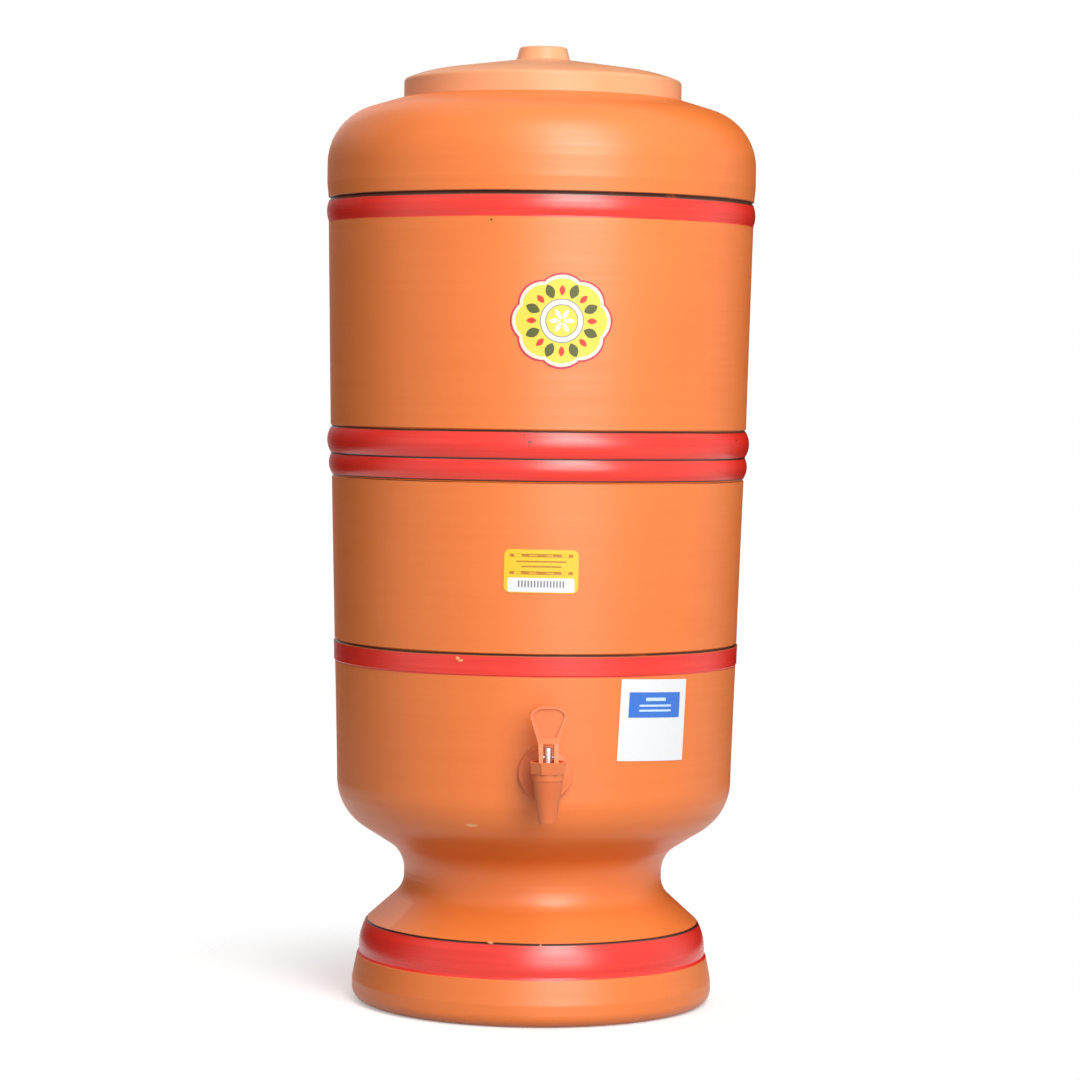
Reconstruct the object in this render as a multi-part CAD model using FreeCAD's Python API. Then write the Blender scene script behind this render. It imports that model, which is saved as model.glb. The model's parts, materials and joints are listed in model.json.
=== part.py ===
import FreeCAD, Part
import math
import os

# Clay water filter: an upper and a lower terracotta vessel, a moulded lid, two filter
# candles with float valves, and a spring-closed lever tap. Millimetres, +Z up, origin at
# the centre of the foot ring's underside, tap facing -Y.

# Outline of the lower vessel, from the floor up
foot_radius = 113.4
foot_edge_round = 8.0
foot_drum_straight = 14.0
foot_drum_round = 7.0
foot_drum_height = 28.5
foot_drum_top_radius = 110.6
foot_step_height = 2.0
foot_band_radius = 109.2
foot_band_height = 19.7
foot_band_top_radius = 105.0
foot_band_bulge = 1.5
flare_height = 21.3
neck_radius = 81.3
neck_height = 22.2
neck_lower_round = 16.0
neck_upper_round = 21.0
bowl_underside_height = 26.5
bowl_round = 35.0
lower_wall_bottom_radius = 123.6
lower_wall_height = 211.3
lower_wall_top_radius = 129.6
low_band_rise = 94.2
low_band_height = 12.0
low_band_proud = 0.6
lower_bead_height = 12.6
lower_bead_bulge = 1.6
bead_joint_proud = 0.6

# Outline of the upper vessel, from its shelf up
vessel_gap = 0.3
upper_bead_height = 15.9
upper_bead_bulge = 2.3
upper_wall_bottom_radius = 130.6
upper_wall_height = 128.7
upper_wall_top_radius = 133.2
top_bead_height = 12.7
top_bead_bulge = 1.2
shoulder_radius = 134.3
shoulder_height = 50.6
shoulder_swell_height = 11.0
shoulder_swell_round = 11.0
shoulder_round = 36.5
shoulder_rise = 13.6

# Clay thicknesses and the joint between the vessels
clay_wall = 9.4
clay_floor = 12.0
bowl_floor_rise = 22.0
bowl_inner_round = 26.0
upper_floor_round = 9.0
foot_ring_width = 16.0
pedestal_wall = 10.2
pedestal_round = 12.0
mouth_radius = 118.8
mouth_depth = 16.0
mouth_taper = 4.7
spigot_depth = 11.8
spigot_clearance = 1.6
rim_round = 1.2

# Incised lines that are painted black
line_groove_width = 1.9
top_line_groove_width = 2.6

# Collar, lid and knob
collar_radius = 83.3
collar_height = 8.6
collar_wall = 7.0
lid_clearance = 1.0
lid_wall = 2.6
lid_seat_gap = 0.3
lid_seat_margin = 2.6
lid_skirt_height = 12.1
lid_edge_round = 3.0
lid_bevel_width = 11.9
lid_bevel_rise = 4.7
lid_bevel_round = 110.0
lid_dome_rise = 8.3
knob_radius = 17.0
knob_top_radius = 14.7
knob_height = 8.1
knob_edge_round = 1.4

# Tap body and its fixing in the lower vessel's wall
tap_rise = 36.8
shank_radius = 7.4
shank_bore_radius = 3.0
shank_tail = 2.6
shank_hole_clearance = 0.9
flange_radius = 16.5
flange_rim_thickness = 2.2
flange_rim_width = 2.2
flange_boss_rise = 1.4
flange_boss_radius = 8.4
flange_edge_round = 0.7
flange_washer_thickness = 1.6
flange_washer_inset = 1.2
inner_washer_radius = 13.2
inner_washer_thickness = 2.4
locknut_sides = 6
locknut_flats = 23.0
locknut_thickness = 7.0
tap_neck_radius = 4.6
tap_neck_drop = 2.4
tap_reach = 24.0
barrel_radius = 9.4
barrel_height = 4.4
barrel_step = 0.4
barrel_above_shank = 2.4
spout_length = 25.4
spout_tip_radius = 5.1
spout_edge_round = 0.5
spout_bore_radius = 3.4
chamber_radius = 6.4
chamber_below_shank = 6.4
collar_thread_radius = 8.4
collar_thread_height = 3.2
seat_gap = 0.02
thread_clearance = 0.15
wall_seat_gap = 0.05

# Bonnet, stem and lever of the tap
bonnet_sides = 8
bonnet_low_radius = 10.8
bonnet_top_radius = 11.9
bonnet_height = 7.0
bonnet_plate = 1.6
bonnet_recess_radius = 9.3
bonnet_recess_depth = 1.8
bonnet_chamfer = 1.0
bonnet_chamfer_height = 0.5
stem_radius = 2.5
stem_clearance = 0.1
stem_above_pin = 5.7
stem_spigot_radius = 1.25
stem_spigot_length = 1.6
gland_thickness = 1.8
gland_clearance = 0.05
plug_radius = 5.0
plug_thickness = 3.2
plug_nose_radius = 3.0
plug_nose_tip_radius = 2.1
plug_nose_length = 1.4
spring_radius = 4.3
spring_wire_radius = 0.45
spring_turns = 3.5
spring_end_gap = 0.1
pin_radius = 1.0
pin_clearance = 0.06
lever_height = 30.4
lever_fork_height = 8.2
lever_slot_half_width = 3.3
lever_foot_half_width = 5.7
lever_neck_half_width = 6.1
lever_paddle_half_width = 11.6
lever_paddle_corner_drop = 4.6
lever_paddle_corner_round = 3.0
lever_tip_half_width = 6.0
lever_tip_round = 7.0
lever_paddle_thickness = 3.2
lever_neck_thickness = 6.0
lever_face_recess = 0.8
lever_face_border = 1.7
lever_face_tip_border = 0.85
lever_face_rise = 3.4
lever_tilt_limit = 40.0
cam_foot_depth = 4.0
cam_lift_per_radian = 3.6
cam_heel = 3.5
cam_heel_thickness = 2.0
cam_foot_gap = 0.25

# Filter candles and what fixes them to the upper vessel's floor
candle_spacing = 92.0
candle_radius = 25.2
candle_height = 98.0
candle_dome_round = 20.0
candle_wall = 7.5
candle_cup_wall = 2.8
candle_cup_height = 15.0
candle_cup_floor = 3.5
candle_glue_gap = 0.2
candle_stem_radius = 5.2
candle_stem_bore_radius = 2.2
candle_stem_hole_clearance = 1.1
candle_gasket_radius = 15.0
candle_gasket_thickness = 3.0
candle_washer_radius = 11.0
candle_washer_thickness = 2.5
washer_bore_clearance = 0.2
wing_nut_radius = 8.0
wing_nut_height = 8.0
wing_nut_span = 34.0
wing_thickness = 3.0
wing_tip_drop = 3.2
wing_root_inset = 0.8
wing_low_round = 3.0
wing_top_round = 2.0

# Float valve under each candle
valve_stem_grip = 9.0
valve_body_radius = 8.4
valve_body_length = 16.0
valve_body_gap = 1.2
valve_nozzle_radius = 4.0
valve_nozzle_bore_radius = 1.6
valve_nozzle_length = 1.2
pivot_offset = 9.0
pivot_drop = 4.0
ear_gap_half_width = 3.4
ear_thickness = 2.6
ear_radius = 3.8
bracket_thickness = 3.0
float_pin_radius = 1.0
float_pin_clearance = 0.06
arm_half_width = 3.0
arm_above_pivot = 1.2
arm_below_pivot = 1.6
arm_hub_radius = 2.8
arm_length = 64.0
arm_tail = 6.2
arm_disc_radius = 8.0
pad_radius = 3.2
pad_gap = 0.2
float_radius = 17.0
float_height = 28.0
float_edge_round = 5.0
float_swing_limit = 25.0

# Levels that several pieces share
z_foot_line = foot_drum_height + foot_step_height + foot_band_height
z_neck_low = z_foot_line + flare_height
z_neck_high = z_neck_low + neck_height
z_wall_start = z_neck_high + bowl_underside_height
z_low_band = z_wall_start + low_band_rise
z_lower_bead = z_wall_start + lower_wall_height
z_rim = z_lower_bead + lower_bead_height
z_shelf = z_rim + vessel_gap
z_upper_wall = z_shelf + upper_bead_height
z_top_bead = z_upper_wall + upper_wall_height
z_shoulder = z_top_bead + top_bead_height
z_shoulder_corner = z_shoulder + shoulder_height
z_lid_seat = z_shoulder_corner + shoulder_rise
z_spigot = z_shelf - spigot_depth
z_upper_floor = z_spigot + clay_floor
z_bowl_floor = z_neck_high + bowl_floor_rise
z_tap = z_wall_start + tap_rise

# Radii that several pieces share
bead_joint_radius = lower_wall_top_radius + bead_joint_proud
lid_inner_radius = collar_radius + lid_clearance
lid_outer_radius = lid_inner_radius + lid_wall
lid_seat_radius = lid_outer_radius + lid_seat_margin

# Everything turns about the vertical axis or lies across it
AXIS_X = FreeCAD.Vector(1, 0, 0)
AXIS_Y = FreeCAD.Vector(0, 1, 0)
AXIS_Z = FreeCAD.Vector(0, 0, 1)
FULL_TURN = 360
QUARTERS = 4

# Rounds may use up to this share of an edge, so a changed size never makes them meet
EDGE_SHARE_FOR_ROUNDS = 0.98

# What cuts a way through a piece runs this far past its faces
OVERSHOOT = 1.0


def point(r, z):
    return FreeCAD.Vector(r, 0, z)


def bowed_edge(start, end, bow):
    """A straight edge, or an arc that bows to the right of the way from start to end."""
    if abs(bow) < 1e-9:
        return Part.LineSegment(start, end).toShape()
    along = (end - start).normalize()
    side = FreeCAD.Vector(along.z, 0, -along.x)
    middle = (start + end) * 0.5 + side * bow
    return Part.Arc(start, middle, end).toShape()


def corner_reaches(spots, radii):
    """How far each corner's round runs along its edges, shared out where an edge is short."""
    count = len(spots)
    reaches = []
    for i, radius in enumerate(radii):
        half = (spots[i - 1] - spots[i]).getAngle(spots[(i + 1) % count] - spots[i]) / 2
        reaches.append(radius / math.tan(half) if radius > 0 else 0)
    shares = []
    for i in range(count):
        wanted = reaches[i] + reaches[(i + 1) % count]
        room = EDGE_SHARE_FOR_ROUNDS * spots[i].distanceToPoint(spots[(i + 1) % count])
        shares.append(min(1, room / wanted) if wanted > 0 else 1)
    return [reach * min(shares[i - 1], shares[i]) for i, reach in enumerate(reaches)]


def corner_arc(before, corner, after, reach):
    """Start, middle and end of the arc that touches both edges at the given reach."""
    back = (before - corner).normalize()
    ahead = (after - corner).normalize()
    half = back.getAngle(ahead) / 2
    radius = reach * math.tan(half)
    centre = corner + (back + ahead).normalize() * (radius / math.sin(half))
    middle = centre + (corner - centre).normalize() * radius
    return corner + back * reach, middle, corner + ahead * reach


def outline(corners):
    """A face in the XZ plane.

    Each corner is (x, z), (x, z, round) or (x, z, round, bow of the edge that follows).
    """
    count = len(corners)
    spots = [point(c[0], c[1]) for c in corners]
    radii = [c[2] if len(c) > 2 else 0 for c in corners]
    bows = [c[3] if len(c) > 3 else 0 for c in corners]
    starts, arcs, ends = [], [], []
    for i, reach in enumerate(corner_reaches(spots, radii)):
        if reach > 0:
            first, middle, last = corner_arc(spots[i - 1], spots[i], spots[(i + 1) % count], reach)
            arcs.append([Part.Arc(first, middle, last).toShape()])
        else:
            first, last = spots[i], spots[i]
            arcs.append([])
        ends.append(first)
        starts.append(last)
    edges = []
    for i in range(count):
        edges += arcs[i]
        edges.append(bowed_edge(starts[i], ends[(i + 1) % count], bows[i]))
    return Part.Face(Part.Wire(edges))


def turned(corners):
    """A solid of revolution about Z."""
    return outline(corners).revolve(FreeCAD.Vector(), AXIS_Z, FULL_TURN)


def cylinder_up(radius, z_low, z_high, x=0, y=0):
    return Part.makeCylinder(radius, z_high - z_low, FreeCAD.Vector(x, y, z_low), AXIS_Z)


def cylinder_along_x(radius, x_low, x_high, y, z):
    return Part.makeCylinder(radius, x_high - x_low, FreeCAD.Vector(x_low, y, z), AXIS_X)


def cylinder_along_y(radius, y_low, y_high, z):
    return Part.makeCylinder(radius, y_high - y_low, FreeCAD.Vector(0, y_low, z), AXIS_Y)


def box_between(low, high):
    size = [b - a for a, b in zip(low, high)]
    return Part.makeBox(size[0], size[1], size[2], FreeCAD.Vector(*low))


def regular_polygon(sides, corner_radius, z, turn):
    """A closed wire about Z with a corner at angle turn from +X."""
    angles = [math.radians(turn + FULL_TURN * i / sides) for i in range(sides + 1)]
    ring = [FreeCAD.Vector(corner_radius * math.cos(a), corner_radius * math.sin(a), z) for a in angles]
    return Part.makePolygon(ring)


def line_groove(radius, z, width):
    """The ring that is cut away for one incised line, a square on its corner."""
    half = width / 2
    return turned([(radius - half, z), (radius, z - half), (radius + half, z), (radius, z + half)])


def lower_wall_radius(z):
    share = (z - z_wall_start) / lower_wall_height
    return lower_wall_bottom_radius + share * (lower_wall_top_radius - lower_wall_bottom_radius)


def shoulder_underside(r):
    """Height of the shoulder's inside at radius r, one clay wall below its outside."""
    slope = shoulder_rise / (shoulder_radius - lid_seat_radius)
    drop = clay_wall * math.hypot(1, slope)
    return z_shoulder_corner + slope * (shoulder_radius - r) - drop


# The lower vessel: bowl, waisted neck and ring foot in one fired piece
def lower_vessel_outside():
    z_band_top = z_low_band + low_band_height
    return [
        (foot_radius - foot_ring_width, 0),
        (foot_radius, 0, foot_edge_round),
        (foot_radius, foot_drum_straight, foot_drum_round),
        (foot_drum_top_radius, foot_drum_height),
        (foot_band_radius, foot_drum_height + foot_step_height, 0, foot_band_bulge),
        (foot_band_top_radius, z_foot_line),
        (neck_radius, z_neck_low, neck_lower_round),
        (neck_radius, z_neck_high, neck_upper_round),
        (lower_wall_bottom_radius, z_wall_start, bowl_round),
        (lower_wall_radius(z_low_band), z_low_band),
        (lower_wall_radius(z_low_band) + low_band_proud, z_low_band + low_band_proud),
        (lower_wall_radius(z_band_top) + low_band_proud, z_band_top),
        (lower_wall_radius(z_band_top), z_band_top),
        (lower_wall_top_radius, z_lower_bead, 0, lower_bead_bulge),
    ]


def lower_vessel_inside():
    z_ledge = z_rim - mouth_depth
    z_wall_top = z_ledge - mouth_taper
    return [
        (mouth_radius, z_rim, rim_round),
        (mouth_radius, z_ledge),
        (lower_wall_radius(z_wall_top) - clay_wall, z_wall_top),
        (lower_wall_radius(z_bowl_floor) - clay_wall, z_bowl_floor, bowl_inner_round),
        (0, z_bowl_floor),
    ]


def pedestal_hollow():
    """The open hollow of the foot, whose inside follows the flare outside."""
    slope = math.atan2(flare_height, foot_band_top_radius - neck_radius)
    drop = pedestal_wall / math.cos(slope)
    rise = pedestal_wall * math.tan(slope)
    inner_neck = neck_radius - pedestal_wall
    return [
        (0, z_bowl_floor - clay_floor),
        (inner_neck, z_bowl_floor - clay_floor, pedestal_round),
        (inner_neck, z_neck_low - drop + rise, neck_lower_round),
        (foot_band_top_radius - pedestal_wall, z_foot_line - drop + rise, pedestal_round),
    ]


def make_lower_vessel():
    rim = [(bead_joint_radius, z_rim)]
    vessel = turned(lower_vessel_outside() + rim + lower_vessel_inside() + pedestal_hollow())
    z_band_top = z_low_band + low_band_height
    half_line = line_groove_width / 2
    cuts = [
        line_groove(foot_band_top_radius, z_foot_line, line_groove_width),
        line_groove(lower_wall_radius(z_band_top), z_band_top + half_line, line_groove_width),
        line_groove(lower_wall_top_radius, z_lower_bead - half_line, line_groove_width),
        cylinder_along_y(
            shank_radius + shank_hole_clearance,
            -wall_at_tap - clay_wall,
            y_inner_wall + clay_wall,
            z_tap,
        ),
    ]
    return vessel.cut(cuts)


# The upper vessel: it stands in the lower one's mouth and carries the candles
def make_upper_vessel():
    spigot_radius = mouth_radius - spigot_clearance
    inner_wall_top = upper_wall_top_radius - clay_wall
    collar_bore = collar_radius - collar_wall
    vessel = turned([
        (0, z_spigot),
        (spigot_radius, z_spigot, rim_round),
        (spigot_radius, z_shelf),
        (bead_joint_radius, z_shelf, 0, upper_bead_bulge),
        (upper_wall_bottom_radius, z_upper_wall),
        (upper_wall_top_radius, z_top_bead, 0, top_bead_bulge),
        (upper_wall_top_radius, z_shoulder),
        (shoulder_radius, z_shoulder + shoulder_swell_height, shoulder_swell_round),
        (shoulder_radius, z_shoulder_corner, shoulder_round),
        (lid_seat_radius, z_lid_seat),
        (collar_radius, z_lid_seat),
        (collar_radius, z_lid_seat + collar_height, rim_round),
        (collar_bore, z_lid_seat + collar_height, rim_round),
        (collar_bore, shoulder_underside(collar_bore)),
        (inner_wall_top, shoulder_underside(inner_wall_top), shoulder_round - clay_wall),
        (upper_wall_bottom_radius - clay_wall, z_upper_floor, upper_floor_round),
        (0, z_upper_floor),
    ])
    cuts = [
        line_groove(upper_wall_bottom_radius, z_upper_wall + line_groove_width / 2, line_groove_width),
        line_groove(upper_wall_top_radius, z_shoulder + top_line_groove_width / 2, top_line_groove_width),
    ]
    hole_radius = candle_stem_radius + candle_stem_hole_clearance
    for x in (-candle_spacing / 2, candle_spacing / 2):
        cuts.append(cylinder_up(hole_radius, z_spigot - OVERSHOOT, z_upper_floor + OVERSHOOT, x))
    return vessel.cut(cuts)


# The lid: a moulded cap with a skirt round the collar and a hollow knob
def make_lid():
    z_low = z_lid_seat + lid_seat_gap
    z_edge = z_low + lid_skirt_height
    z_bevel = z_edge + lid_bevel_rise
    z_dome = z_bevel + lid_dome_rise
    z_knob = z_dome + knob_height
    return turned([
        (lid_inner_radius, z_low),
        (lid_outer_radius, z_low),
        (lid_outer_radius, z_edge, lid_edge_round),
        (lid_outer_radius - lid_bevel_width, z_bevel, lid_bevel_round),
        (knob_radius, z_dome),
        (knob_top_radius, z_knob, knob_edge_round),
        (0, z_knob),
        (0, z_knob - lid_wall),
        (knob_top_radius - lid_wall, z_knob - lid_wall),
        (knob_radius - lid_wall, z_dome - lid_wall),
        (lid_outer_radius - lid_bevel_width, z_bevel - lid_wall, lid_bevel_round),
        (lid_inner_radius, z_edge - lid_wall),
    ])


# Where the tap stands
wall_at_tap = lower_wall_radius(z_tap)
y_flange_back = -(wall_at_tap + flange_washer_thickness)
y_axis = y_flange_back - tap_reach
z_neck = z_tap - tap_neck_drop
y_inner_wall = -(wall_at_tap - clay_wall)
y_nut_back = y_inner_wall + inner_washer_thickness
y_shank_end = y_nut_back + locknut_thickness + shank_tail
z_barrel_top = z_tap + barrel_above_shank
z_barrel_low = z_barrel_top - barrel_height
z_spout_tip = z_barrel_low - spout_length
z_seat = z_tap - chamber_below_shank
z_body_top = z_barrel_top + collar_thread_height
z_plate_low = z_barrel_top + bonnet_height - bonnet_recess_depth - bonnet_plate
z_cam_floor = z_plate_low + bonnet_plate
z_pin = z_cam_floor + cam_foot_gap + cam_foot_depth
z_gland_low = z_plate_low - gland_thickness
z_plug_low = z_seat + seat_gap
z_plug_top = z_plug_low + plug_thickness
TAP = FreeCAD.Vector(0, y_axis, 0)


def at_tap(shape):
    """Moves a shape from the part's axis to the tap's."""
    shape.translate(TAP)
    return shape


def flange_disc():
    """The dished rosette, turned about Z and laid over to face -Y."""
    disc = turned([
        (0, 0),
        (flange_radius, 0),
        (flange_radius, flange_rim_thickness, flange_edge_round),
        (flange_radius - flange_rim_width, flange_rim_thickness, flange_edge_round),
        (flange_boss_radius, flange_rim_thickness + flange_boss_rise),
        (0, flange_rim_thickness + flange_boss_rise),
    ])
    disc.rotate(FreeCAD.Vector(), AXIS_X, 90)
    disc.translate(FreeCAD.Vector(0, y_flange_back, z_tap))
    return disc


def make_tap_body():
    barrel = at_tap(turned([
        (0, z_spout_tip),
        (spout_tip_radius, z_spout_tip, spout_edge_round),
        (barrel_radius - barrel_step, z_barrel_low),
        (barrel_radius, z_barrel_low + barrel_step),
        (barrel_radius, z_barrel_top),
        (collar_thread_radius, z_barrel_top),
        (collar_thread_radius, z_body_top),
        (0, z_body_top),
    ]))
    neck = cylinder_along_y(tap_neck_radius, y_axis, y_flange_back, z_neck)
    shank = cylinder_along_y(shank_radius, y_flange_back, y_shank_end, z_tap)
    body = barrel.fuse([neck, shank, flange_disc()])
    ways = [
        cylinder_along_y(shank_bore_radius, y_axis, y_shank_end + OVERSHOOT, z_neck),
        cylinder_up(chamber_radius, z_seat, z_body_top + OVERSHOOT, 0, y_axis),
        cylinder_up(spout_bore_radius, z_spout_tip - OVERSHOOT, z_seat + OVERSHOOT, 0, y_axis),
    ]
    return body.cut(ways).removeSplitter()


def make_flange_washer():
    """Soft ring between the rosette and the round wall, which its back follows."""
    radius = flange_radius - flange_washer_inset
    ring = cylinder_along_y(radius, y_flange_back, y_inner_wall, z_tap)
    bore = cylinder_along_y(shank_radius + thread_clearance, y_flange_back, y_inner_wall, z_tap)
    return ring.cut([bore, wall_cone(wall_seat_gap)])


def make_inner_washer():
    """Soft ring between the locknut and the inside of the wall."""
    ring = cylinder_along_y(inner_washer_radius, -wall_at_tap, y_nut_back, z_tap)
    bore = cylinder_along_y(shank_radius + thread_clearance, -wall_at_tap, y_nut_back, z_tap)
    return ring.common(wall_cone(-clay_wall - wall_seat_gap)).cut(bore)


def wall_cone(offset):
    """The lower vessel's round wall near the tap as a solid, grown by offset."""
    z_low = z_tap - flange_radius
    z_high = z_tap + flange_radius
    low_radius = lower_wall_radius(z_low) + offset
    high_radius = lower_wall_radius(z_high) + offset
    return Part.makeCone(low_radius, high_radius, z_high - z_low, point(0, z_low), AXIS_Z)


def make_tap_locknut():
    half_side = FULL_TURN / locknut_sides / 2
    corner_radius = locknut_flats / 2 / math.cos(math.radians(half_side))
    hexagon = Part.Face(regular_polygon(locknut_sides, corner_radius, 0, half_side))
    bore = cylinder_up(shank_radius + thread_clearance, -OVERSHOOT, locknut_thickness + OVERSHOOT)
    nut = hexagon.extrude(AXIS_Z * locknut_thickness).cut(bore)
    nut.rotate(FreeCAD.Vector(), AXIS_X, -90)
    nut.translate(FreeCAD.Vector(0, y_nut_back, z_tap))
    return nut


def make_tap_bonnet():
    """Eight-sided cap nut with a dished top, in which the lever's feet stand."""
    z_top = z_barrel_top + bonnet_height
    turn = FULL_TURN / bonnet_sides / 2
    low = regular_polygon(bonnet_sides, bonnet_low_radius, z_barrel_top, turn)
    top = regular_polygon(bonnet_sides, bonnet_top_radius, z_top, turn)
    chamfered = Part.makeLoft([low, top], True, True).common(turned([
        (0, z_barrel_top),
        (bonnet_top_radius, z_barrel_top),
        (bonnet_top_radius, z_top - bonnet_chamfer_height),
        (bonnet_top_radius - bonnet_chamfer, z_top),
        (0, z_top),
    ]))
    cuts = [
        cylinder_up(collar_thread_radius + thread_clearance, z_barrel_top - OVERSHOOT, z_plate_low),
        cylinder_up(stem_radius + stem_clearance, z_plate_low - OVERSHOOT, z_top + OVERSHOOT),
        cylinder_up(bonnet_recess_radius, z_cam_floor, z_top + OVERSHOOT),
    ]
    return at_tap(chamfered.cut(cuts))


def make_stem_gland():
    ring = cylinder_up(chamber_radius - thread_clearance, z_gland_low, z_plate_low)
    bore = cylinder_up(stem_radius + gland_clearance, z_gland_low - OVERSHOOT, z_plate_low + OVERSHOOT)
    return at_tap(ring.cut(bore))


def make_valve_stem():
    rod = cylinder_up(stem_radius, z_plug_top, z_pin + stem_above_pin)
    spigot = cylinder_up(stem_spigot_radius, z_plug_top - stem_spigot_length, z_plug_top)
    hole = cylinder_along_x(pin_radius, -stem_radius, stem_radius, 0, z_pin)
    return at_tap(rod.fuse(spigot).cut(hole).removeSplitter())


def make_valve_plug():
    """Rubber plug that lies on the seat, with a nose in the outlet and a socket for the stem."""
    plug = turned([
        (0, z_plug_low - plug_nose_length),
        (plug_nose_tip_radius, z_plug_low - plug_nose_length),
        (plug_nose_radius, z_plug_low),
        (plug_radius, z_plug_low),
        (plug_radius, z_plug_top),
        (0, z_plug_top),
    ])
    socket = cylinder_up(stem_spigot_radius, z_plug_top - stem_spigot_length, z_plug_top + OVERSHOOT)
    return at_tap(plug.cut(socket))


def coil_point(turn, low, pitch):
    """A point of the coil's centre line and its direction there, after so many turns."""
    angle = math.radians(FULL_TURN * turn)
    across = spring_radius * math.cos(angle)
    along = spring_radius * math.sin(angle)
    way = FreeCAD.Vector(-along, across, pitch / (2 * math.pi))
    return FreeCAD.Vector(across, along, low + pitch * turn), way.normalize()


def arc_to(start, corner, end):
    """The arc that leaves start towards corner and reaches end from it."""
    chord = (start + end) * 0.5
    half = start.distanceToPoint(end) / 2
    middle = chord + (corner - chord) * (half / (start.distanceToPoint(corner) + half))
    return Part.Arc(start, middle, end).toShape()


def biarc(start, way_out, end, way_in):
    """Two arcs that join two points and share one direction where they meet."""
    across = end - start
    both = way_out + way_in
    a = 2 * (way_out.dot(way_in) - 1)
    b = -2 * across.dot(both)
    c = across.dot(across)
    reach = (-b - math.sqrt(b * b - 4 * a * c)) / (2 * a)
    first = start + way_out * reach
    second = end - way_in * reach
    joint = (first + second) * 0.5
    return [arc_to(start, first, joint), arc_to(joint, second, end)]


def make_return_spring():
    """Open coil between the plug and the gland, one tube swept in quarter turns."""
    low = z_plug_top + spring_wire_radius + spring_end_gap
    high = z_gland_low - spring_wire_radius - spring_end_gap
    pitch = (high - low) / spring_turns
    print(f"return_spring: gap between turns {pitch - 2 * spring_wire_radius:.2f} mm")
    steps = round(spring_turns * QUARTERS)
    stations = [coil_point(spring_turns * i / steps, low, pitch) for i in range(steps + 1)]
    edges = []
    for (start, way_out), (end, way_in) in zip(stations, stations[1:]):
        edges += biarc(start, way_out, end, way_in)
    section = Part.Wire(Part.makeCircle(spring_wire_radius, stations[0][0], stations[0][1]))
    return at_tap(Part.Wire(edges).makePipeShell([section], True, False))


def make_lever_pin():
    half = lever_foot_half_width - pin_clearance
    return at_tap(cylinder_along_x(pin_radius, -half, half, 0, z_pin))


def cam_point(angle):
    """A point of the foot's rolling edge, which lifts the pin at an even rate as the lever tilts."""
    depth = cam_foot_depth + cam_lift_per_radian * angle
    y = -depth * math.sin(angle) - cam_lift_per_radian * math.cos(angle)
    z = -depth * math.cos(angle) + cam_lift_per_radian * math.sin(angle)
    return FreeCAD.Vector(0, y, z)


def lever_side():
    """The lever seen from the side: cam foot, neck and tapering paddle, pin at the origin."""
    limit = math.radians(lever_tilt_limit)
    toe, toe_middle, toe_end = cam_point(0), cam_point(limit / 2), cam_point(limit)
    half_neck = lever_neck_thickness / 2
    half_paddle = lever_paddle_thickness / 2
    corners = [
        toe_end,
        FreeCAD.Vector(0, -half_neck, lever_fork_height),
        FreeCAD.Vector(0, -half_paddle, lever_height),
        FreeCAD.Vector(0, half_paddle, lever_height),
        FreeCAD.Vector(0, half_neck, lever_fork_height),
        FreeCAD.Vector(0, cam_heel, cam_heel_thickness - cam_foot_depth),
        FreeCAD.Vector(0, cam_heel, -cam_foot_depth),
        toe,
    ]
    edges = [Part.LineSegment(a, b).toShape() for a, b in zip(corners, corners[1:])]
    edges.append(Part.Arc(toe, toe_middle, toe_end).toShape())
    return Part.Face(Part.Wire(edges))


def mirrored_outline(side):
    """A face from the corners of its right-hand side, the left being its mirror image."""
    return outline(side + [(-c[0],) + tuple(c[1:]) for c in reversed(side)])


def lever_front():
    """The lever seen from the front: legs, neck and paddle."""
    return mirrored_outline([
        (lever_foot_half_width, -cam_foot_depth),
        (lever_neck_half_width, lever_fork_height),
        (lever_paddle_half_width, lever_height - lever_paddle_corner_drop, lever_paddle_corner_round),
        (lever_tip_half_width, lever_height, lever_tip_round),
    ])


def lever_face():
    """The sunk face of the paddle, inside its raised border."""
    half_width = lever_paddle_half_width - lever_face_border
    return mirrored_outline([
        (lever_neck_half_width - lever_face_border, lever_fork_height + lever_face_rise),
        (half_width, lever_height - lever_paddle_corner_drop, lever_paddle_corner_round),
        (lever_tip_half_width - lever_face_tip_border, lever_height - lever_face_border, lever_tip_round),
    ])


def make_tap_lever():
    """Forked paddle handle: the side and front views cut one another, then slot, face and pin hole."""
    half_width = lever_paddle_half_width
    half_depth = lever_neck_thickness + cam_heel
    side = lever_side().extrude(AXIS_X * 2 * half_width)
    side.translate(FreeCAD.Vector(-half_width, 0, 0))
    front = lever_front().extrude(AXIS_Y * 2 * half_depth)
    front.translate(FreeCAD.Vector(0, -half_depth, 0))
    lever = side.common(front)
    slot = box_between(
        (-lever_slot_half_width, -half_depth, -cam_foot_depth - OVERSHOOT),
        (lever_slot_half_width, half_depth, lever_fork_height),
    )
    face = lever_face().extrude(AXIS_Y * -half_depth)
    face.translate(FreeCAD.Vector(0, -lever_paddle_thickness / 2 + lever_face_recess, 0))
    hole = cylinder_along_x(pin_radius + pin_clearance, -half_width, half_width, 0, 0)
    lever = lever.cut([slot, face, hole])
    lever.translate(point(0, z_pin))
    return at_tap(lever)


# Levels of one candle's fixing, from the upper vessel's floor down
z_cup = z_upper_floor + candle_gasket_thickness
z_ceramic = z_cup + candle_cup_floor + candle_glue_gap
z_nut_top = z_spigot - candle_washer_thickness
z_nut_low = z_nut_top - wing_nut_height
z_valve_top = z_nut_low - valve_body_gap
z_stem_end = z_valve_top - valve_stem_grip
z_bracket = z_valve_top - valve_body_length
z_pivot = z_bracket - pivot_drop
z_nozzle = z_bracket - valve_nozzle_length
y_pivot = -pivot_offset


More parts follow.
